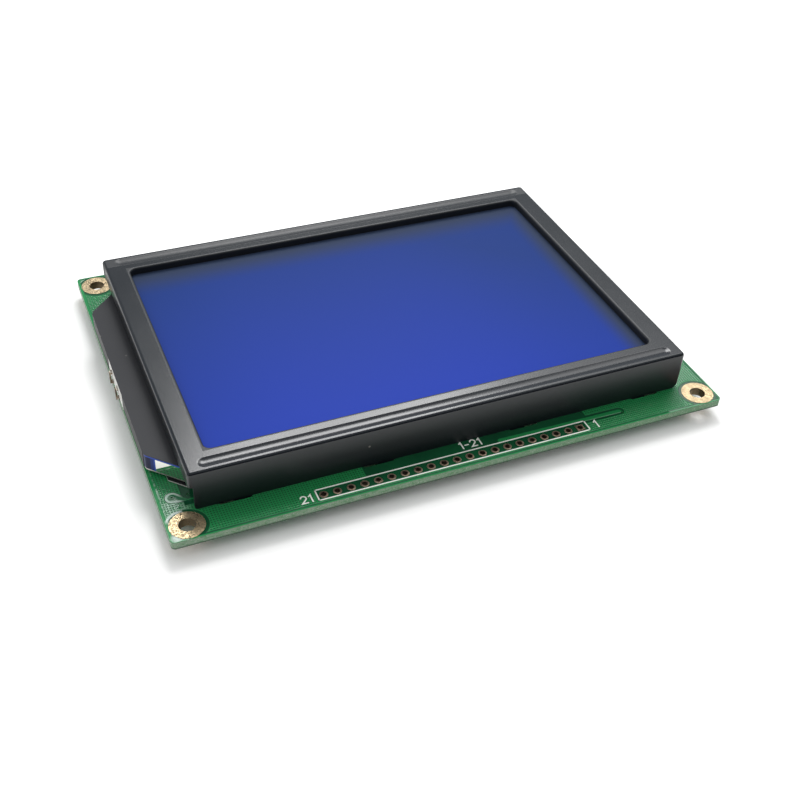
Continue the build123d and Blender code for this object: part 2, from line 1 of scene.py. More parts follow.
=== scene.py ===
"""Looks of a monochrome display module: its finishes, printed marks, solder joints and a plain stage."""

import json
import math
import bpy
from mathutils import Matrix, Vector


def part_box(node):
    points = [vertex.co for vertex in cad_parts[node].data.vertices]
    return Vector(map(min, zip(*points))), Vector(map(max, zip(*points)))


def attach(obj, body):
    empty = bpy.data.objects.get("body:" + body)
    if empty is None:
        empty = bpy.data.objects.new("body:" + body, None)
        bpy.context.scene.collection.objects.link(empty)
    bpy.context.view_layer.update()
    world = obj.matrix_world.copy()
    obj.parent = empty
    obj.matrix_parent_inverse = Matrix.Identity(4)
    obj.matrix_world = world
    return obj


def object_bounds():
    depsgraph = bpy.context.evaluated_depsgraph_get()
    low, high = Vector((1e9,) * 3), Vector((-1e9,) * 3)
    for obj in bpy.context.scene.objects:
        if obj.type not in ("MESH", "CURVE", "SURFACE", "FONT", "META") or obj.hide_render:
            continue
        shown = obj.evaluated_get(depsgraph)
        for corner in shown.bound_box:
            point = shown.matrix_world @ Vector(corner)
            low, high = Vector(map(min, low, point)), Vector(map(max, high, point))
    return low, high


bl_info = {
    "name": "Monochrome display module",
    "version": (1, 0, 0),
    "blender": (4, 5, 0),
    "location": "View3D > Sidebar > Display",
    "description": "Finishes the packed display module and adds its printed marks, solder and stage",
    "category": "Object",
}

import bmesh
import bpy
from bpy.props import FloatProperty, FloatVectorProperty, PointerProperty
from mathutils import Matrix, Vector, noise

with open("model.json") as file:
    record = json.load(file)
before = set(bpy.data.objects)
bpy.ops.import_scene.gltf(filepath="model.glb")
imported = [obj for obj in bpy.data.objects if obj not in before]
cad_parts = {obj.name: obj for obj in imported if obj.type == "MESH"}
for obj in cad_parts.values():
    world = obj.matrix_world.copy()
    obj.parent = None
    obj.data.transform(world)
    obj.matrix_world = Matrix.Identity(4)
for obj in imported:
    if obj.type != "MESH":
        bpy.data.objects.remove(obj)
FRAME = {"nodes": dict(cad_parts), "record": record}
CAD_LOW, CAD_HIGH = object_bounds()
MM = 0.001

# Places that follow from the frame, in millimetres
MOUNTS = {mount["name"]: mount for mount in FRAME["record"]["mounts"]}
HOLE_X = MOUNTS["mounting_holes"]["dims"]["spacing_x_mm"] / 2
HOLE_Y = MOUNTS["mounting_holes"]["dims"]["spacing_y_mm"] / 2
HEADER_X = MOUNTS["header_holes"]["pos_m"][0] / MM
HEADER_Y = MOUNTS["header_holes"]["pos_m"][1] / MM
HEADER_RUN = MOUNTS["header_holes"]["dims"]["spacing_x_mm"]
BOARD_LOW, BOARD_HIGH = [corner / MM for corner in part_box("circuit_board")]
GUIDE_LOW, GUIDE_HIGH = [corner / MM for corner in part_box("light_guide")]
FACE_LOW, FACE_HIGH = [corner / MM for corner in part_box("front_polarizer")]

# How far the window's lip covers the face, in millimetres
LIP_OVERLAP = 1.4

# Distance in metres under which two points of a mesh are one, and angle over which an edge is sharp
SAME_POINT = 0.001 * MM
SHARP_EDGE = math.radians(35)


# Property groups: the sizes and colours that a user would change


def colour_property(name, description, default):
    """Property that holds a colour."""
    return FloatVectorProperty(
        name=name,
        description=description,
        subtype="COLOR",
        size=3,
        min=0,
        max=1,
        default=default,
    )


def length_property(name, description, default, lowest, highest):
    """Property that holds a length in metres."""
    return FloatProperty(
        name=name,
        description=description,
        unit="LENGTH",
        min=lowest,
        max=highest,
        default=default,
        precision=6,
    )


def power_property(name, description, default):
    """Property that holds a lamp's power in watts."""
    return FloatProperty(
        name=name,
        description=description,
        unit="POWER",
        min=0,
        max=1000,
        default=default,
    )


class BezelLook(bpy.types.PropertyGroup):
    """Satin paint of the folded bezel."""

    paint: colour_property("Paint", "Colour of the satin paint", (0.0055, 0.0075, 0.0100))
    dust: colour_property("Dust", "Colour of the specks of dust on the paint", (0.30, 0.28, 0.25))
    roughness: FloatProperty(
        name="Roughness",
        description="Roughness of the paint",
        subtype="FACTOR",
        min=0,
        max=1,
        default=0.21,
    )
    grain: length_property("Grain depth", "Depth of the fine grain of the paint", 0.0000015, 0, 0.0001)


class BoardLook(bpy.types.PropertyGroup):
    """Solder mask, copper and laminate of the board."""

    mask_bare: colour_property(
        "Mask over laminate",
        "Colour of the solder mask where no copper lies under it",
        (0.004, 0.038, 0.019),
    )
    mask_copper: colour_property(
        "Mask over copper",
        "Colour of the solder mask over copper",
        (0.017, 0.225, 0.066),
    )
    laminate: colour_property("Laminate", "Colour of the cut glass-fibre edge", (0.23, 0.34, 0.23))
    hatch_pitch: length_property("Hatch pitch", "Pitch of the hatched copper", 0.000508, 0.0001, 0.005)
    hatch_line: length_property(
        "Hatch line",
        "Width of one line of the hatched copper",
        0.00026,
        0.00005,
        0.002,
    )
    edge_margin: length_property(
        "Edge margin",
        "Width of the band along the board's edges with no copper",
        0.00055,
        0,
        0.005,
    )
    relief: length_property("Copper relief", "Height of the copper under the mask", 0.00005, 0, 0.0002)


class DisplayLook(bpy.types.PropertyGroup):
    """Face of the liquid-crystal cell."""

    blue: colour_property("Blue", "Colour of the cell where it is brightest", (0.010, 0.038, 0.350))
    # Painted shade and reflection of the window's lip on the cell
    border: colour_property("Border", "Colour of the cell beside the window's lip", (0.030, 0.045, 0.085))
    border_width: length_property(
        "Border width",
        "Distance from the lip over which the border fades into the blue",
        0.0055,
        0.0005,
        0.02,
    )


class PrintLook(bpy.types.PropertyGroup):
    """White marks printed on the board."""

    ink: colour_property("Ink", "Colour of the printed marks", (0.90, 0.93, 0.86))
    line: length_property("Line width", "Width of the printed lines", 0.00027, 0.00005, 0.002)
    digit: length_property("Digit height", "Height of the printed digits", 0.0017, 0.0002, 0.01)


class StageLook(bpy.types.PropertyGroup):
    """Floor, light and camera."""

    floor: colour_property("Floor", "Colour of the floor", (0.80, 0.80, 0.80))
    room_light: FloatProperty(
        name="Room light",
        description="Strength of the light that comes from all round",
        min=0,
        max=10,
        default=0.90,
    )
    lamp_light: power_property("Lamp light", "Power of the main lamp behind the module", 2.05)
    side_light: power_property("Side light", "Power of the dim lamp to the right of the main one", 0.95)
    corner_light: power_property(
        "Corner light",
        "Power of the small lamp that glints in the corner by the leads",
        0.15,
    )


class Looks(bpy.types.PropertyGroup):
    """All that a user would change."""

    bezel: PointerProperty(type=BezelLook)
    board: PointerProperty(type=BoardLook)
    display: PointerProperty(type=DisplayLook)
    print: PointerProperty(type=PrintLook)
    stage: PointerProperty(type=StageLook)


# Shader maths and nodes


class Wire:
    """A shader socket on which Python's operators add Math nodes."""

    def __init__(self, nodes, socket):
        self.nodes = nodes
        self.socket = socket

    def out(self, name):
        """Another output of the node that this wire comes from."""
        return Wire(self.nodes, self.socket.node.outputs[name])

    def __add__(self, other):
        return self.nodes.maths("ADD", self, other)

    def __radd__(self, other):
        return self.nodes.maths("ADD", other, self)

    def __sub__(self, other):
        return self.nodes.maths("SUBTRACT", self, other)

    def __rsub__(self, other):
        return self.nodes.maths("SUBTRACT", other, self)

    def __mul__(self, other):
        return self.nodes.maths("MULTIPLY", self, other)

    def __rmul__(self, other):
        return self.nodes.maths("MULTIPLY", other, self)

    def __truediv__(self, other):
        return self.nodes.maths("DIVIDE", self, other)

    def __mod__(self, other):
        return self.nodes.maths("FLOORED_MODULO", self, other)

    def __abs__(self):
        return self.nodes.maths("ABSOLUTE", self)

    def __neg__(self):
        return self.nodes.maths("MULTIPLY", self, -1)

    def least(self, other):
        return self.nodes.maths("MINIMUM", self, other)

    def most(self, other):
        return self.nodes.maths("MAXIMUM", self, other)

    def root(self):
        return self.nodes.maths("SQRT", self)

    def rise(self, low, high):
        """0 below low and 1 above high, with a smooth rise between them."""
        return self.nodes.node(
            "ShaderNodeMapRange",
            {"interpolation_type": "SMOOTHSTEP"},
            {"Value": self, "From Min": low, "From Max": high},
        )

    def fall(self, low, high):
        """1 below low and 0 above high, with a smooth fall between them."""
        return 1 - self.rise(low, high)


class Nodes:
    """A node tree with one way to add any node."""

    def __init__(self, tree):
        self.tree = tree

    def node(self, kind, settings=None, sockets=None):
        """Adds a node, gives it its settings and then the values or wires of its sockets."""
        made = self.tree.nodes.new(kind)
        for name, value in (settings or {}).items():
            setattr(made, name, value)
        for name, value in (sockets or {}).items():
            if isinstance(value, Wire):
                self.tree.links.new(value.socket, made.inputs[name])
            else:
                made.inputs[name].default_value = value
        outputs = [socket for socket in made.outputs if socket.enabled]
        return Wire(self, outputs[0]) if outputs else None

    def maths(self, operation, *values):
        """Adds a Math node on wires or numbers."""
        return self.node("ShaderNodeMath", {"operation": operation}, dict(enumerate(values)))

    def background(self, strength, colour=(1.0, 1.0, 1.0)):
        """Light from all round."""
        return self.node("ShaderNodeBackground", {}, {"Color": (*colour, 1), "Strength": strength})

    def blend(self, factor, one, other):
        """Shader between one and other."""
        return self.node("ShaderNodeMixShader", {}, {0: factor, 1: one, 2: other})


class Finish(Nodes):
    """One node material. Its places are those of the row frame, in millimetres."""

    def __init__(self, name):
        self.material = bpy.data.materials.new(name)
        self.material.use_nodes = True
        super().__init__(self.material.node_tree)
        self.tree.nodes.clear()
        self.coordinates = self.node("ShaderNodeTexCoord")
        self.place = self.node(
            "ShaderNodeVectorMath",
            {"operation": "SCALE"},
            {"Vector": self.coordinates.out("Object"), "Scale": 1 / MM},
        )
        axes = self.node("ShaderNodeSeparateXYZ", {}, {"Vector": self.place})
        self.x, self.y, self.z = [axes.out(axis) for axis in "XYZ"]

    def mix(self, factor, one, other):
        """Colour between one and other."""
        colours = [value if isinstance(value, Wire) else (*value, 1) for value in (one, other)]
        return self.node(
            "ShaderNodeMix",
            {"data_type": "RGBA"},
            {0: factor, 6: colours[0], 7: colours[1]},
        ).out(2)

    def noise(self, scale, detail=2.0, roughness=0.5, place=None):
        """Smooth noise about 0.5, with its scale in features a millimetre."""
        return self.node(
            "ShaderNodeTexNoise",
            {},
            {
                "Vector": place or self.place,
                "Scale": scale,
                "Detail": detail,
                "Roughness": roughness,
            },
        )

    def cells(self, scale):
        """Distance to the nearest of scattered points, with its scale in points a millimetre."""
        return self.node("ShaderNodeTexVoronoi", {}, {"Vector": self.place, "Scale": scale})

    def stretched(self, across, along, up):
        """The place with each axis scaled by itself."""
        return self.node(
            "ShaderNodeVectorMath",
            {"operation": "MULTIPLY"},
            {0: self.place, 1: (across, along, up)},
        )

    def facing(self, axis):
        """How far the surface faces along an axis, whichever way."""
        normal = self.node("ShaderNodeSeparateXYZ", {}, {"Vector": self.coordinates.out("Normal")})
        return abs(normal.out(axis))

    def box(self, centre, half):
        """Distance outside a rectangle seen from above, negative inside it."""
        return (abs(self.x - centre[0]) - half[0]).most(abs(self.y - centre[1]) - half[1])

    def disc(self, centre, radius):
        """Distance outside a circle seen from above, negative inside it."""
        across = self.x - centre[0]
        along = self.y - centre[1]
        return (across * across + along * along).root() - radius

    def bar(self, start, end, radius, end_radius=None):
        """Distance outside a round-ended, perhaps tapered track seen from above, negative inside it."""
        run = Vector(end) - Vector(start)
        across = self.x - start[0]
        along = self.y - start[1]
        share = ((across * run.x + along * run.y) / run.length_squared).most(0).least(1)
        across = across - share * run.x
        along = along - share * run.y
        if end_radius is not None:
            radius = radius + share * (end_radius - radius)
        return (across * across + along * along).root() - radius

    def turn(self, centre):
        """Angle about a centre seen from above, in radians."""
        return self.maths("ARCTAN2", self.y - centre[1], self.x - centre[0])

    def bump(self, height, depth):
        """Normal of a surface raised by height, a value from 0 to 1, times depth in metres."""
        return self.node("ShaderNodeBump", {}, {"Height": height, "Distance": depth})

    def surface(self, **sockets):
        """Ends the material in a Principled shader. Socket names are written with underscores."""
        named = {name.replace("_", " "): value for name, value in sockets.items()}
        shader = self.node("ShaderNodeBsdfPrincipled", {}, named)
        self.node("ShaderNodeOutputMaterial", {}, {"Surface": shader})
        return self.material


def scaled(colour, factor):
    """A colour made lighter or darker."""
    return tuple(factor * part for part in colour)


def dress(node, material):
    """Gives a CAD node its finish."""
    slots = FRAME["nodes"][node].data.materials
    slots.clear()
    slots.append(material)


# Finishes


def bezel_paint(look):
    """Satin black paint with a fine grain and specks of dust, rougher on the walls, lip and back bead."""
    finish = Finish("bezel_paint")
    bead_from_holes = 5.4
    cloud = finish.noise(0.05, 3)
    grain = finish.noise(7.0, 3, 0.6)
    specks = finish.cells(0.22).fall(0.035, 0.06) * finish.noise(0.4).rise(0.5, 0.6)
    wall = finish.facing("X").most(finish.facing("Y")).rise(0.80, 0.95)
    middle = (FACE_LOW + FACE_HIGH) / 2
    window = (FACE_HIGH - FACE_LOW) / 2 - Vector((LIP_OVERLAP, LIP_OVERLAP, 0))
    lip = abs(finish.box(middle, window) - 0.1).fall(0.30, 0.60)
    back_bead = abs(finish.y - (HOLE_Y - bead_from_holes)).fall(1.1, 1.5)
    satin = look.roughness + 0.08 * (grain - 0.5) + 0.1 * (cloud - 0.5)
    satin = satin + 0.12 * wall + 0.26 * lip + 0.22 * back_bead
    paint = finish.mix(cloud, look.paint, scaled(look.paint, 1.35))
    return finish.surface(
        Base_Color=finish.mix(0.6 * specks, paint, look.dust),
        Specular_IOR_Level=0.55,
        Roughness=satin,
        Normal=finish.bump(grain, look.grain),
    )


class BoardMask(Finish):
    """Solder mask over hatched copper and tracks, with cut laminate at the edges. In millimetres."""

    # A distance that no part of the board reaches
    far = 100.0

    # Room that the hatched copper leaves, each area as its middle and half its size
    hole_room = 3.75
    header_area = ((HEADER_X, HEADER_Y + 0.1), (HEADER_RUN / 2 + 1.4, 1.35))
    quiet_area = ((4.0, -35.2), (22.5, 1.9))
    left_area = ((-47.6, -29.9), (2.3, 2.9))
    track_room = 0.55
    drop_room = 0.4
    fan_room = 3.0

    # Tracks of the upper face as start, end and radii: behind the header, and the teardrop with its neck
    front_run = ((8.0, -36.4), (33.3, -36.7), 0.45)
    drop_run = ((-51.45, -30.25), (-49.3, -31.4), 1.0, 0.22)
    neck_run = ((-49.5, -31.5), (-47.0, -31.5), 0.15)
    fan_tracks = 48

    # Painted reflections and glints by the front left corner, each place with its radius and fade
    painted_reflection = (0.56, 0.72, 0.62)
    dull_painted_reflection = (0.50, 0.66, 0.56)
    glint = (0.62, 0.74, 0.67)
    painted_reflection_place = ((-51.9, -33.0), 0.9, 2.6)
    ring_glint_radius = 3.62
    ring_glint_place = ((-52.6, -34.6), 1.0, 1.2)
    tip_glint_place = ((-53.1, -39.6), 0.3, 1.0)

    def __init__(self, look):
        super().__init__("board_mask")
        self.look = look
        middle = (BOARD_LOW + BOARD_HIGH) / 2
        half = (BOARD_HIGH - BOARD_LOW) / 2
        self.upper = self.z.rise(middle.z - 0.1, middle.z + 0.1)
        self.from_edge = -self.box(middle, half)
        self.front_track = self.on_top(self.bar(*self.front_run))
        self.drop = self.on_top(self.bar(*self.drop_run))
        self.neck = self.on_top(self.bar(*self.neck_run))

    def on_top(self, distance):
        """Keeps a mark to the upper face."""
        return distance + self.far * (1 - self.upper)

    def patch(self, centre, radius, fade):
        """1 inside a circle, with a soft fall to 0 outside it."""
        return self.disc(centre, radius).fall(0.0, fade)

    def fans(self):
        """Tracks that fan out round each dome of the rear face, and the distance outside all fans."""
        fans = None
        outside = None
        for low, high in islands("driver_domes"):
            centre = (low + high) / 2
            ring = self.disc(centre, (high.x - low.x) / 2)
            turn = self.turn(centre) * (self.fan_tracks / math.tau)
            tracks = abs(turn % 1 - 0.5).fall(0.16, 0.26) * (ring.fall(2.6, 2.7) * (1 - self.upper))
            distance = ring - self.fan_room + self.far * self.upper
            fans = fans.most(tracks) if fans else tracks
            outside = outside.least(distance) if outside else distance
        return fans, outside

    def hatched(self, outside_fans):
        """Distance inside the hatched area, from the board's edge and from what it leaves clear."""
        across = abs(self.x) - HOLE_X
        along = abs(self.y) - HOLE_Y
        from_holes = (across * across + along * along).root()
        inside = (self.from_edge - self.look.edge_margin / MM).least(from_holes - self.hole_room)
        clear = self.on_top(self.box(*self.quiet_area).least(self.box(*self.left_area)))
        clear = clear.least(self.box(*self.header_area)).least(self.front_track - self.track_room)
        clear = clear.least(self.drop - self.drop_room).least(outside_fans)
        return inside.least(clear)

    def copper(self):
        """Share of copper under the mask, and height of the mask in soft slopes over the copper's edges."""
        soft = 0.04
        slope = 0.12
        pitch = self.look.hatch_pitch / MM
        half_line = self.look.hatch_line / MM / 2
        fans, outside_fans = self.fans()
        inside = self.hatched(outside_fans)
        from_line = abs(self.x % pitch - pitch / 2).least(abs(self.y % pitch - pitch / 2))
        from_track = self.front_track.least(self.drop).least(self.neck)
        outline = (inside - 0.12).fall(0.0, soft)
        lines = from_line.fall(half_line - soft, half_line + soft).most(outline)
        copper = (inside.rise(-soft, 0) * lines).most(from_track.fall(-soft, soft)).most(fans)
        slopes = from_line.fall(half_line - slope, half_line + slope).most(outline)
        height = (inside.rise(-slope, 0.06) * slopes).most(from_track.fall(-0.16, 0.10))
        return copper, height

    def mask(self, copper):
        """Colour of the mask, with its painted reflections and glints."""
        bare = self.look.mask_bare
        full = self.look.mask_copper
        mask = self.mix(copper, bare, full)
        mask = self.mix(0.30 * self.noise(0.09, 2), mask, scaled(full, 1.4))
        from_left = self.x - BOARD_LOW.x
        rim = from_left.fall(0.42, 0.56).most(self.from_edge.fall(0.16, 0.32))
        mask = self.mix(0.85 * rim, mask, scaled(full, 1.25))
        # A pale line near the left edge: a painted reflection
        line = abs(from_left - 0.66).fall(0.08, 0.18) * self.y.fall(-29, -20)
        mask = self.mix(0.45 * line * self.noise(1.6).rise(0.38, 0.55), mask, self.painted_reflection)
        # A pale patch over the copper by the front left corner: a painted reflection
        corner = self.patch(*self.painted_reflection_place) * self.upper
        corner = corner * copper * self.noise(0.9).rise(0.35, 0.6)
        mask = self.mix(0.50 * corner, mask, self.dull_painted_reflection)
        ring = abs(self.disc((-HOLE_X, -HOLE_Y), self.ring_glint_radius)).fall(0.10, 0.34)
        ring = ring * self.patch(*self.ring_glint_place)
        glints = ring.most(self.patch(*self.tip_glint_place)) * self.upper
        mask = self.mix(0.85 * glints, mask, self.glint)
        mask = self.mix(0.5 * self.drop.fall(-0.3, 0.0), mask, bare)
        # A pale rim on the left side of the teardrop: a painted highlight
        painted_drop_highlight = abs(self.drop - 0.04).fall(0.11, 0.30) * self.x.fall(-50.6, -49.6)
        return self.mix(0.80 * painted_drop_highlight, mask, self.painted_reflection)

    def laminate(self):
        """Colour of the cut edge: pale and green streaks, greener to the right, with mask at its upper rim
        and darker towards its foot.
        """
        weave = self.noise(1.6, 4, 0.7, self.stretched(0.7, 0.7, 2.6))
        speckle = self.noise(4.5, 2, 0.8)
        pale = self.look.laminate
        green = (0.42 * pale[0], 0.76 * pale[1], 0.50 * pale[2])
        laminate = self.mix(self.x.rise(-30, 60) * 0.8, pale, green)
        laminate = self.mix(weave.rise(0.46, 0.60), laminate, green)
        laminate = self.mix(0.7 * speckle.rise(0.55, 0.66), laminate, (0.52, 0.55, 0.48))
        rim = self.z.rise(BOARD_HIGH.z - 0.20, BOARD_HIGH.z - 0.06)
        # Darker towards the foot of the edge
        foot = self.z.fall(BOARD_LOW.z + 0.15, BOARD_LOW.z + 0.45)
        laminate = self.mix(0.85 * rim, laminate, self.look.mask_copper)
        return self.mix(0.80 * foot, laminate, self.look.mask_bare)


def board_mask(look):
    """Glossy mask on the board's faces and cut laminate on its edges."""
    finish = BoardMask(look)
    copper, height = finish.copper()
    top = finish.facing("Z").rise(0.5, 0.6)
    return finish.surface(
        Base_Color=finish.mix(top, finish.laminate(), finish.mask(copper)),
        Roughness=0.50 - top * (0.42 - 0.04 * finish.noise(2.0)),
        Normal=finish.bump(height.most(1 - top), look.relief),
    )


def plating(name, colour, pits, depth):
    """Pale gold plating, mottled and bumpy from its hot levelling, with painted shade on its walls. Pits is
    the share of dark marks.
    """
    finish = Finish(name)
    # The dark colour serves the real pit marks and the painted shade on the walls
    dark = scaled(colour, 0.30)
    bumps = finish.noise(1.5, 4, 0.65)
    marks = finish.noise(2.3, 3, 0.75).rise(0.51, 0.59) * (1 - 0.6 * finish.x.rise(-30, 30))
    tint = finish.mix(finish.noise(0.6, 2).rise(0.35, 0.65), colour, scaled(colour, 0.75))
    tint = finish.mix(pits * marks, tint, dark)
    # Faces that don't face up or down take the dark colour: painted shade in the holes
    face = finish.facing("Z").rise(0.5, 0.6)
    return finish.surface(
        Base_Color=finish.mix(face, dark, tint),
        Metallic=0.85,
        Roughness=0.30 + 0.25 * (bumps - 0.5),
        Normal=finish.bump(bumps - 0.4 * pits * marks, depth),
    )


def plain(name, colour, roughness, metallic=0.0, variation=0.12, scale=0.6, depth=0.000002, grain=6.0):
    """A finish of one colour with slight cloudiness, grain and change of gloss."""
    finish = Finish(name)
    fine = finish.noise(grain, 3, 0.6)
    lighter = [min(1.0, part) for part in scaled(colour, 1 + variation)]
    return finish.surface(
        Base_Color=finish.mix(finish.noise(scale, 3), scaled(colour, 1 - variation), lighter),
        Metallic=metallic,
        Roughness=roughness + 0.12 * (fine - 0.5),
        Normal=finish.bump(fine, depth),
    )


def cover_tape():
    """Dark grey tape with a faint grain and a few specks, with painted shade where it folds down."""
    finish = Finish("cover_tape")
    specks = finish.cells(0.20).fall(0.03, 0.05) * finish.noise(0.5).rise(0.48, 0.55)
    grain = finish.noise(5.0, 3, 0.6)
    tape = finish.mix(finish.noise(0.12, 3), (0.036, 0.037, 0.041), (0.046, 0.047, 0.051))
    # Painted shade: the folded-down side takes a darker copy of the tape's colour
    tape = finish.mix(finish.facing("X").rise(0.5, 0.7), tape, (0.022, 0.023, 0.025))
    return finish.surface(
        Base_Color=finish.mix(0.4 * specks, tape, (0.30, 0.29, 0.27)),
        Specular_IOR_Level=0.14,
        Roughness=0.42 + 0.12 * (grain - 0.5),
        Normal=finish.bump(grain, 0.000004),
    )


def tinned_copper(name, bright, dark, patch, depth):
    """Metal in uneven bright and tarnished patches. Patch is their number a millimetre."""
    finish = Finish(name)
    patches = finish.noise(patch, 3, 0.6).rise(0.42, 0.58)
    lumps = finish.noise(1.5 * patch, 2)
    return finish.surface(
        Base_Color=finish.mix(patches, dark, bright),
        Metallic=0.8,
        Roughness=0.22 + 0.25 * (1 - patches),
        Normal=finish.bump(lumps, depth),
    )


def display_film(look):
    """Blue face of the cell, with painted shade and reflection of the lip beside the back and right lips,
    and painted shading that darkens it towards the back and the sides.
    """
    finish = Finish("display_film")
    # Painted shade and reflection of the lip, only beside the back and right lips and wider at the back
    from_back = FACE_HIGH.y - LIP_OVERLAP - finish.y
    from_right = FACE_HIGH.x - LIP_OVERLAP - finish.x
    edge = (0.62 * from_back).least(from_right).fall(0.3, look.border_width / MM)
    # Painted shading: the blue is lighter towards the front and darker towards the back, the left and the
    # right
    front = (FACE_HIGH.y - finish.y) / (FACE_HIGH.y - FACE_LOW.y)
    left = finish.x.fall(FACE_LOW.x, FACE_LOW.x + 22)
    right = finish.x.rise(4, FACE_HIGH.x)
    light = front - 0.16 * left - 0.40 * right
    red, green, blue = look.blue
    film = finish.mix(light, (red, green, 0.56 * blue), (red, 1.05 * green, 1.10 * blue))
    film = finish.mix(0.12 * finish.noise(0.04, 2), film, (red, green, 0.7 * blue))
    return finish.surface(
        Base_Color=finish.mix(edge, film, look.border),
        Specular_IOR_Level=0.06,
        Roughness=0.42 + 0.06 * finish.noise(5.0),
        Normal=finish.bump(finish.noise(9.0, 2), 0.000001),
    )


def dark_faced_plate():
    """Metal plate, near black on its faces and bright on its cut edges."""
    finish = Finish("dark_faced_plate")
    # Faces near black, cut edges bright
    face = finish.facing("Z").rise(0.4, 0.6)
    scratches = finish.noise(2.0, 3, 0.7, finish.stretched(0.3, 0.3, 4.0))
    edge = finish.mix(scratches, (0.62, 0.60, 0.58), (0.88, 0.86, 0.84))
    return finish.surface(
        Base_Color=finish.mix(face, edge, (0.010, 0.010, 0.011)),
        Metallic=0.25 * (1 - face),
        Roughness=0.34 + 0.4 * face,
        Normal=finish.bump(scratches, 0.000004),
    )


def guide_acrylic():
    """Polished acrylic whose cut corners carry a mirror film and bands of painted blue light."""
    finish = Finish("guide_acrylic")
    painted_top_light = (0.035, 0.085, 0.45)
    corner = finish.facing("X").rise(0.3, 0.5) * finish.facing("Y").rise(0.3, 0.5)
    from_end = finish.x - GUIDE_LOW.x
    from_top = GUIDE_HIGH.z - finish.z
    # Bands of painted blue light inside the acrylic, stronger away from the end and along the top
    painted_blue_light = finish.mix(from_end.rise(0.75, 0.95), (0.006, 0.010, 0.045), (0.010, 0.032, 0.17))
    painted_blue_light = finish.mix(from_end.rise(1.15, 1.45), painted_blue_light, (0.020, 0.075, 0.42))
    painted_blue_light = finish.mix(from_top.fall(0.26, 0.34), painted_blue_light, painted_top_light)
    film = corner * from_end.rise(1.5, 1.56) * from_top.rise(0.28, 0.34)
    body = finish.mix(corner, (0.06, 0.07, 0.16), painted_blue_light)
    return finish.surface(
        Base_Color=finish.mix(film, body, (0.74, 0.745, 0.69)),
        Metallic=film,
        Specular_IOR_Level=0.16,
        Roughness=0.35 - 0.32 * film,
        Normal=finish.bump(finish.noise(0.25, 1), 0.00001),
    )


# Meshes of the pieces that the scene adds


def add_piece(name, shape, material, smooth=True):
    """Makes an object of a bmesh in millimetres, finishes it and fixes it to the module."""
    bmesh.ops.scale(shape, vec=(MM, MM, MM), verts=shape.verts)
    bmesh.ops.recalc_face_normals(shape, faces=shape.faces)
    mesh = bpy.data.meshes.new(name)
    shape.to_mesh(mesh)
    shape.free()
    piece = bpy.data.objects.new(name, mesh)
    bpy.context.scene.collection.objects.link(piece)
    mesh.materials.append(material)
    if smooth:
        mesh.shade_smooth()
        mesh.set_sharp_from_angle(angle=SHARP_EDGE)
    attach(piece, "root")
    return piece


def slab(shape, outline, low, high):
    """Adds an upright prism between two heights, from an outline that runs anticlockwise."""
    lower = [shape.verts.new((x, y, low)) for x, y in outline]
    upper = [shape.verts.new((x, y, high)) for x, y in outline]
    shape.faces.new(reversed(lower))
    shape.faces.new(upper)
    for index, start in enumerate(lower):
        following = (index + 1) % len(lower)
        shape.faces.new((start, lower[following], upper[following], upper[index]))


def stroke(shape, points, width, low, high, steps=6):
    """Adds a printed line along points, with mitred corners and round ends of some steps."""
    sharpest = 0.35
    path = [Vector(point) for point in points]
    half = width / 2
    left = []
    right = []
    for index, point in enumerate(path):
        before = (point - path[index - 1]).normalized() if index else None
        after = (path[index + 1] - point).normalized() if index + 1 < len(path) else None
        heading = ((before or after) + (after or before)).normalized()
        side = Vector((-heading.y, heading.x))
        stretch = half / max(sharpest, heading.dot(after or before))
        left.append(point + side * stretch)
        right.append(point - side * stretch)

    def cap(centre, heading):
        start = math.atan2(heading.y, heading.x) - math.pi / 2
        turns = [start + math.pi * step / steps for step in range(1, steps)]
        return [centre + Vector((math.cos(turn), math.sin(turn))) * half for turn in turns]

    outline = right + cap(path[-1], (path[-1] - path[-2]).normalized())
    outline += list(reversed(left)) + cap(path[0], (path[0] - path[1]).normalized())
    slab(shape, outline, low, high)


def rectangle(shape, corner, far_corner, width, low, high):
    """Adds four printed lines round a rectangle."""
    left, front = corner
    right, back = far_corner
    corners = [(left, front), (right, front), (right, back), (left, back)]
    for start, end in zip(corners, corners[1:] + corners[:1]):
        stroke(shape, [start, end], width, low, high)


def solder_drop(shape, centre, radii, seed):
    """Adds a lumpy drop. Seed picks its lumps."""
    lump_height = 0.30
    lump_count = 1.7
    made = bmesh.ops.create_icosphere(shape, subdivisions=3, radius=1.0)
    for vertex in made["verts"]:
        way = vertex.co.copy()
        lump = 1 + lump_height * noise.noise(lump_count * way + Vector((seed, 0.7 * seed, 5.0)))
        vertex.co = Vector([centre[axis] + radii[axis] * lump * way[axis] for axis in range(3)])


def arc(centre, radii, start, end, steps=8):
    """Points on an elliptic arc between two angles in degrees."""
    turns = [math.radians(start + (end - start) * step / steps) for step in range(steps + 1)]
    return [(centre[0] + radii[0] * math.cos(turn), centre[1] + radii[1] * math.sin(turn)) for turn in turns]


# Strokes of each character in a cell one unit high, with the width that it takes
CHARACTERS = {
    "1": (0.30, [[(0.02, 0.80), (0.24, 1.0), (0.24, 0.0)]]),
    "2": (0.62, [arc((0.31, 0.70), (0.29, 0.30), 165, -35) + [(0.02, 0.0), (0.62, 0.0)]]),
    "-": (0.45, [[(0.02, 0.45), (0.42, 0.45)]]),
}


def write(shape, text, corner, height, line, low, high, gap=0.26):
    """Adds plain characters from their lower left corner."""
    x, y = corner
    for character in text:
        width, strokes = CHARACTERS[character]
        for points in strokes:
            placed = [(x + height * across, y + height * up) for across, up in points]
            stroke(shape, placed, line, low, high)
        x += height * (width + gap)


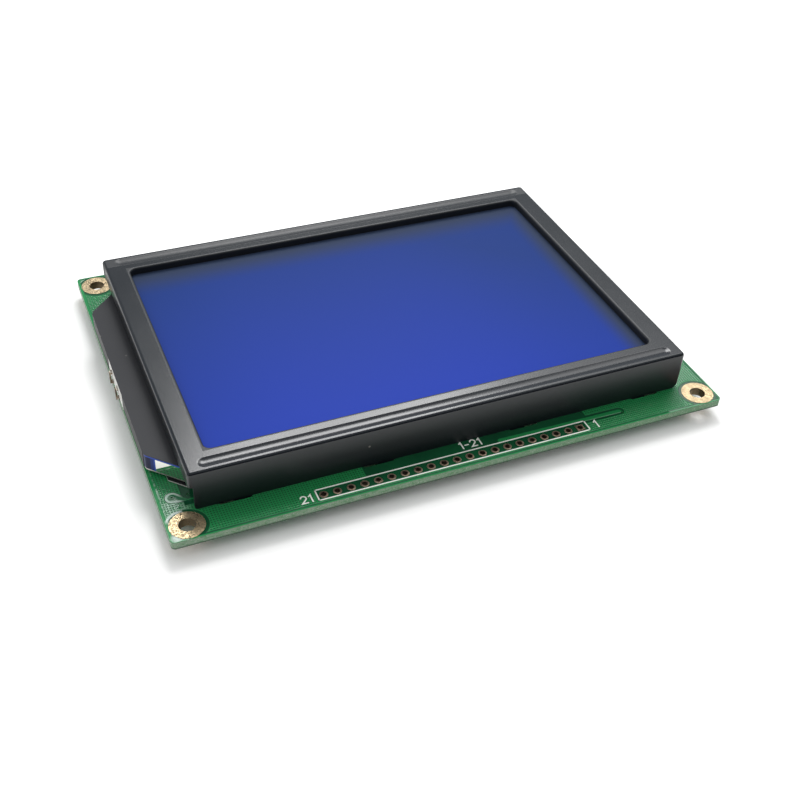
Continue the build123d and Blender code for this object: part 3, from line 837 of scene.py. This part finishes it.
def islands(node):
    """Lowest and highest corner of each connected piece of a CAD node, in millimetres."""
    shape = bmesh.new()
    shape.from_mesh(FRAME["nodes"][node].data)
    bmesh.ops.remove_doubles(shape, verts=shape.verts, dist=SAME_POINT)
    left = set(shape.verts)
    boxes = []
    while left:
        front = [left.pop()]
        found = list(front)
        while front:
            vertex = front.pop()
            for edge in vertex.link_edges:
                other = edge.other_vert(vertex)
                if other in left:
                    left.remove(other)
                    found.append(other)
                    front.append(other)
        low = Vector([min(vertex.co[axis] for vertex in found) for axis in range(3)]) / MM
        high = Vector([max(vertex.co[axis] for vertex in found) for axis in range(3)]) / MM
        boxes.append((low, high))
    shape.free()
    return sorted(boxes, key=lambda box: tuple(box[0]))


# Operators


class DISPLAY_OT_stage(bpy.types.Operator):
    """Adds the floor, the lights and the camera"""

    bl_idname = "display_module.stage"
    bl_label = "Stage"

    # Places and lengths in millimetres in the row frame, and the roll in degrees
    camera_place = (-74.40, -168.95, 138.81)
    camera_target = (-4.79, -19.47, 1.60)
    camera_roll = 3.248
    camera_lens = 50.745

    # Each lamp's heading from +Y towards +X, its height in degrees, and its width and depth
    lamps = {
        "main_lamp": (21.0, 52.0, (232.0, 323.0)),
        "side_lamp": (48.0, 48.5, (430.0, 310.0)),
        "corner_lamp": (9.0, 49.5, (80.0, 70.0)),
    }
    lamp_distance = 700.0
    floor_reach = 6000.0

    # Glow that whitens the floor away from the board, for the camera and in gloss only
    glow_strength = 0.30
    glow_reach = 14.0

    # Strengths of the room: in gloss overhead and behind the camera, and its light from the front
    dim_strength = 0.46
    dim_colour = (0.92, 1.0, 1.10)
    dark_strength = 0.03
    front_strength = 0.35

    def execute(self, context):
        look = context.scene.display_looks.stage
        self.add_floor(look)
        self.add_room(context.scene, look)
        powers = (look.lamp_light, look.side_light, look.corner_light)
        for (name, place), power in zip(self.lamps.items(), powers):
            self.add_lamp(name, power, *place)
        self.add_camera(context.scene)
        return {"FINISHED"}

    def add_floor(self, look):
        """Pale floor that reads white to the camera where no shadow lies."""
        finish = Finish("floor")
        lit = finish.node("ShaderNodeBsdfDiffuse", {}, {"Color": (*look.floor, 1)})
        white = finish.node("ShaderNodeBsdfDiffuse", {}, {"Color": (1, 1, 1, 1)})
        glow = finish.node("ShaderNodeEmission", {}, {"Color": (1, 1, 1, 1), "Strength": self.glow_strength})
        paths = finish.node("ShaderNodeLightPath")
        seen = paths.out("Is Camera Ray").most(paths.out("Is Glossy Ray"))
        seen = seen.most(paths.out("Is Transmission Ray"))
        board = finish.box((BOARD_LOW + BOARD_HIGH) / 2, (BOARD_HIGH - BOARD_LOW) / 2)
        away = board.rise(0.0, self.glow_reach)
        both = finish.node("ShaderNodeAddShader", {}, {0: white, 1: glow})
        shown = finish.blend(seen, lit, finish.blend(away, white, both))
        finish.node("ShaderNodeOutputMaterial", {}, {"Surface": shown})
        shape = bmesh.new()
        reach = self.floor_reach
        level = CAD_LOW.z / MM
        corners = [(-reach, -reach), (reach, -reach), (reach, reach), (-reach, reach)]
        shape.faces.new([shape.verts.new((x * MM, y * MM, level * MM)) for x, y in corners])
        mesh = bpy.data.meshes.new("floor")
        shape.to_mesh(mesh)
        shape.free()
        floor = bpy.data.objects.new("floor", mesh)
        bpy.context.scene.collection.objects.link(floor)
        mesh.materials.append(finish.material)

    def add_room(self, scene, look):
        """Even light from all round, dimmer in gloss overhead and dark behind the camera."""
        world = bpy.data.worlds.new("room")
        scene.world = world
        world.use_nodes = True
        world.node_tree.nodes.clear()
        room = Nodes(world.node_tree)
        paths = room.node("ShaderNodeLightPath")
        way = room.node(
            "ShaderNodeSeparateXYZ",
            {},
            {"Vector": room.node("ShaderNodeTexCoord").out("Generated")},
        )
        right, back, up = [way.out(axis) for axis in "XYZ"]
        dark_side = (-back).rise(0.10, 0.7) * up.fall(0.5, 0.9)
        front_side = (-back).rise(-0.2, 0.5) * up.fall(0.4, 0.9)
        dim_side = up.rise(0.0, 0.34).most(right.rise(-0.2, 0.3))
        dim = room.background(self.dim_strength, self.dim_colour)
        mirrored = room.blend(dim_side, room.background(1.0), dim)
        mirrored = room.blend(dark_side, mirrored, room.background(self.dark_strength))
        front = room.background(self.front_strength)
        lit = room.blend(front_side, room.background(look.room_light), front)
        seen = paths.out("Is Camera Ray").most(paths.out("Is Transmission Ray"))
        shown = room.blend(paths.out("Is Glossy Ray"), lit, mirrored)
        shown = room.blend(seen, shown, room.background(1.0))
        room.node("ShaderNodeOutputWorld", {}, {"Surface": shown})

    def add_lamp(self, name, power, heading, height, size):
        """Large soft lamp that shines down on the module. Heading and height are in degrees."""
        heading = math.radians(heading)
        height = math.radians(height)
        direction = Vector(
            (math.sin(heading) * math.cos(height), math.cos(heading) * math.cos(height), math.sin(height))
        )
        lamp = bpy.data.lights.new(name, "AREA")
        lamp.shape = "RECTANGLE"
        lamp.size, lamp.size_y = [side * MM for side in size]
        lamp.energy = power
        holder = bpy.data.objects.new(name, lamp)
        holder.location = direction * self.lamp_distance * MM
        holder.rotation_euler = direction.to_track_quat("Z", "Y").to_euler()
        bpy.context.scene.collection.objects.link(holder)

    def add_camera(self, scene):
        """Camera at the photograph's place."""
        camera = bpy.data.cameras.new("camera")
        camera.sensor_width = 36.0
        camera.lens = self.camera_lens
        camera.clip_start = 0.01
        camera.clip_end = 50.0
        holder = bpy.data.objects.new("camera", camera)
        place = Vector(self.camera_place) * MM
        away = place - Vector(self.camera_target) * MM
        turn = away.to_track_quat("Z", "Y").to_matrix().to_4x4()
        roll = Matrix.Rotation(math.radians(self.camera_roll), 4, "Z")
        holder.matrix_world = Matrix.Translation(place) @ turn @ roll
        scene.collection.objects.link(holder)
        scene.camera = holder
        scene.view_settings.view_transform = "Standard"


class DISPLAY_OT_bezel(bpy.types.Operator):
    """Paints the folded bezel"""

    bl_idname = "display_module.bezel"
    bl_label = "Bezel"

    def execute(self, context):
        dress("bezel", bezel_paint(context.scene.display_looks.bezel))
        return {"FINISHED"}


class DISPLAY_OT_board(bpy.types.Operator):
    """Finishes the board and its plated holes"""

    bl_idname = "display_module.board"
    bl_label = "Board"

    def execute(self, context):
        mask = board_mask(context.scene.display_looks.board)
        dress("circuit_board", mask)
        dress("via_plating", mask)
        dress("mounting_hole_plating", plating("mounting_plating", (0.70, 0.54, 0.32), 0.80, 0.00006))
        dress("header_hole_plating", plating("header_plating", (0.50, 0.38, 0.27), 0.3, 0.000015))
        return {"FINISHED"}


class DISPLAY_OT_cell(bpy.types.Operator):
    """Finishes the liquid-crystal cell"""

    bl_idname = "display_module.cell"
    bl_label = "Cell"

    def execute(self, context):
        dress("front_polarizer", display_film(context.scene.display_looks.display))
        dress("rear_polarizer", plain("rear_film", (0.03, 0.035, 0.05), 0.35))
        glass = plain("cell_glass", (0.10, 0.14, 0.15), 0.05, variation=0.05)
        dress("front_glass", glass)
        dress("rear_glass", glass)
        dress("cell_seal", plain("seal_resin", (0.30, 0.30, 0.27), 0.5))
        elastomer = plain("elastomer", (0.16, 0.16, 0.17), 0.7)
        for node in ("elastomer_front", "elastomer_back", "elastomer_side"):
            dress(node, elastomer)
        return {"FINISHED"}


class DISPLAY_OT_backlight(bpy.types.Operator):
    """Finishes the backlight"""

    bl_idname = "display_module.backlight"
    bl_label = "Backlight"

    # The tape's opening along Y, and the tongue's thickness and gaps below and above it, in millimetres
    opening = (-5.05, 6.65)
    tongue_thickness = 0.10
    tongue_foot = 0.27
    tongue_head = 0.02

    # Solder drops at the strip and at the board's edge: place from there, and half the size
    strip_drop = ((-0.15, 0.0, -0.10), (0.33, 0.62, 0.42))
    edge_drop = ((0.47, -0.25, 0.42), (0.33, 0.50, 0.40))

    def execute(self, context):
        steel = plain("backlight_steel", (0.52, 0.50, 0.48), 0.34, metallic=0.7, variation=0.10)
        dress("backlight_rear_plate", dark_faced_plate())
        dress("reflector_plate", steel)
        dress("insulator_pad", plain("insulator_film", (0.015, 0.015, 0.016), 0.6))
        dress("backlight_foam", plain("foam", (0.008, 0.008, 0.008), 0.9, depth=0.00002, grain=3.0))
        dress("light_guide", guide_acrylic())
        dress("led_board", plain("white_laminate", (0.82, 0.82, 0.78), 0.35, variation=0.05))
        dress("led_packages", plain("led_resin", (0.80, 0.80, 0.74), 0.4, variation=0.05))
        leads = tinned_copper("lead_copper", (0.46, 0.36, 0.26), (0.07, 0.035, 0.02), 1.6, 0.00004)
        dress("backlight_leads", leads)
        solder = tinned_copper("solder", (0.74, 0.68, 0.58), (0.16, 0.11, 0.07), 1.1, 0.00006)
        dress("lead_solder", solder)
        dress("light_cover", cover_tape())
        self.add_tongue()
        self.add_lead_solder(solder)
        dress("diffuser_film", plain("diffuser", (0.80, 0.82, 0.84), 0.6))
        return {"FINISHED"}

    def add_tongue(self):
        """White tongue of the strip board, which shows in the tape's opening above the leads' feet."""
        material = plain("tongue_mask", (0.86, 0.86, 0.82), 0.30, variation=0.05)
        shape = bmesh.new()
        low_y, high_y = self.opening
        outer = GUIDE_LOW.x - self.tongue_thickness
        outline = [(outer, low_y), (GUIDE_LOW.x, low_y), (GUIDE_LOW.x, high_y), (outer, high_y)]
        slab(shape, outline, BOARD_HIGH.z + self.tongue_foot, GUIDE_HIGH.z - self.tongue_head)
        add_piece("strip_tongue", shape, material, smooth=False)

    def add_lead_solder(self, solder):
        """Uneven drops of solder where each lead leaves the strip and where it meets the board's edge."""
        shape = bmesh.new()
        for low, high in islands("backlight_leads"):
            middle = (low.y + high.y) / 2
            drops = (
                ((GUIDE_LOW.x, middle, high.z), *self.strip_drop, middle),
                ((low.x, middle, low.z), *self.edge_drop, middle + 3),
            )
            for corner, offset, radii, seed in drops:
                centre = [place + step for place, step in zip(corner, offset)]
                solder_drop(shape, centre, radii, seed)
        add_piece("lead_solder_drops", shape, solder)


class DISPLAY_OT_rear_parts(bpy.types.Operator):
    """Finishes the parts on the board's rear face"""

    bl_idname = "display_module.rear_parts"
    bl_label = "Rear parts"

    def execute(self, context):
        resin = plain("package_resin", (0.018, 0.018, 0.020), 0.55, depth=0.00001, grain=8.0)
        for node in ("controller_package", "memory_package", "amplifier_package", "transistor_package"):
            dress(node, resin)
        tin = plain("lead_tin", (0.66, 0.66, 0.65), 0.28, metallic=1.0, depth=0.000004)
        for node in (
            "controller_leads",
            "memory_leads",
            "amplifier_leads",
            "transistor_leads",
            "resistor_ends",
            "capacitor_ends",
            "tantalum_terminals",
            "resonator_terminals",
        ):
            dress(node, tin)
        dress("driver_domes", plain("dome_epoxy", (0.010, 0.010, 0.011), 0.22, depth=0.00003, grain=0.7))
        dress("resistor_bodies", plain("resistor_film", (0.02, 0.02, 0.022), 0.3))
        dress("capacitor_bodies", plain("capacitor_ceramic", (0.33, 0.20, 0.11), 0.45))
        dress("tantalum_bodies", plain("tantalum_resin", (0.72, 0.42, 0.05), 0.45))
        dress("resonator_body", plain("resonator_resin", (0.10, 0.04, 0.025), 0.5))
        return {"FINISHED"}


class DISPLAY_OT_printing(bpy.types.Operator):
    """Adds the header's printed frame and plain numbers"""

    bl_idname = "display_module.printing"
    bl_label = "Printing"

    # Millimetres on the board's upper face: the frame's corners and each text's lower left corner
    ink_height = 0.02
    frame_low = (-28.2, -39.5)
    frame_high = (25.35, -36.95)
    last_number = (-31.2, -39.35)
    first_number = (26.9, -39.35)
    range_text = (0.35, -36.15)
    first_scale = 1.08

    def execute(self, context):
        look = context.scene.display_looks.print
        line = look.line / MM
        digit = look.digit / MM
        low = BOARD_HIGH.z
        high = low + self.ink_height
        ink = plain("printed_ink", tuple(look.ink), 0.5, variation=0.08, scale=1.5, depth=0.000004)
        frame = bmesh.new()
        rectangle(frame, self.frame_low, self.frame_high, line, low, high)
        add_piece("header_frame_print", frame, ink)
        numbers = bmesh.new()
        write(numbers, "21", self.last_number, digit, line, low, high)
        write(numbers, "1", self.first_number, digit * self.first_scale, line, low, high)
        write(numbers, "1-21", self.range_text, digit, line, low, high)
        add_piece("header_number_print", numbers, ink)
        return {"FINISHED"}


class DISPLAY_OT_rear_printing(bpy.types.Operator):
    """Adds the printed outlines round the parts on the rear face"""

    bl_idname = "display_module.rear_printing"
    bl_label = "Rear printing"

    # Millimetres from the parts to their outlines, which are thinner than the front's lines
    ink_height = 0.02
    line_share = 0.8
    dome_margin = 0.35
    ring_steps = 48
    margins = {
        "controller_leads": 0.35,
        "memory_leads": 0.35,
        "amplifier_leads": 0.35,
        "transistor_leads": 0.30,
        "tantalum_terminals": 0.35,
        "resonator_terminals": 0.40,
    }
    two_by_two = {"tantalum_terminals"}

    def execute(self, context):
        look = context.scene.display_looks.print
        line = self.line_share * look.line / MM
        high = BOARD_LOW.z
        low = high - self.ink_height
        ink = plain("rear_ink", tuple(look.ink), 0.5, variation=0.08, scale=1.5, depth=0.000004)
        outlines = bmesh.new()
        for node, margin in self.margins.items():
            boxes = islands(node)
            boxes = self.paired(boxes) if node in self.two_by_two else [self.around(boxes)]
            for corner, far in boxes:
                room = Vector((margin, margin))
                rectangle(outlines, corner.xy - room, far.xy + room, line, low, high)
        for corner, far in islands("driver_domes"):
            centre = ((corner.x + far.x) / 2, (corner.y + far.y) / 2)
            radius = (far.x - corner.x) / 2 + self.dome_margin
            ring = arc(centre, (radius, radius), 0, 360, self.ring_steps)
            for start, end in zip(ring, ring[1:]):
                stroke(outlines, [start, end], line, low, high, 3)
        add_piece("rear_outline_print", outlines, ink)
        return {"FINISHED"}

    def around(self, boxes):
        """The one box round several."""
        low = Vector([min(box[0][axis] for box in boxes) for axis in range(3)])
        high = Vector([max(box[1][axis] for box in boxes) for axis in range(3)])
        return low, high

    def paired(self, boxes):
        """Boxes of the terminals taken two by two, each with its nearest neighbour."""
        left = list(boxes)
        found = []
        while left:
            one = left.pop(0)
            near = min(left, key=lambda box: (box[0] - one[0]).length)
            left.remove(near)
            found.append(self.around([one, near]))
        return found


OPERATORS = (
    DISPLAY_OT_stage,
    DISPLAY_OT_bezel,
    DISPLAY_OT_board,
    DISPLAY_OT_cell,
    DISPLAY_OT_backlight,
    DISPLAY_OT_rear_parts,
    DISPLAY_OT_printing,
    DISPLAY_OT_rear_printing,
)


class DISPLAY_PT_panel(bpy.types.Panel):
    """Lists the operators and what a user would change"""

    bl_idname = "DISPLAY_PT_panel"
    bl_label = "Display module"
    bl_space_type = "VIEW_3D"
    bl_region_type = "UI"
    bl_category = "Display"

    def draw(self, context):
        looks = context.scene.display_looks
        for operator in OPERATORS:
            self.layout.operator(operator.bl_idname)
        for group in (looks.bezel, looks.board, looks.display, looks.print, looks.stage):
            box = self.layout.box()
            for name in group.bl_rna.properties.keys():
                if name not in ("rna_type", "name"):
                    box.prop(group, name)


CLASSES = (
    BezelLook,
    BoardLook,
    DisplayLook,
    PrintLook,
    StageLook,
    Looks,
    *OPERATORS,
    DISPLAY_PT_panel,
)


def register():
    for each in CLASSES:
        bpy.utils.register_class(each)
    bpy.types.Scene.display_looks = PointerProperty(type=Looks)


def unregister():
    del bpy.types.Scene.display_looks
    for each in reversed(CLASSES):
        bpy.utils.unregister_class(each)


def main():
    register()
    bpy.ops.display_module.stage()
    bpy.ops.display_module.bezel()
    bpy.ops.display_module.board()
    bpy.ops.display_module.cell()
    bpy.ops.display_module.backlight()
    bpy.ops.display_module.rear_parts()
    bpy.ops.display_module.printing()
    bpy.ops.display_module.rear_printing()


if __name__ == "__main__":
    main()
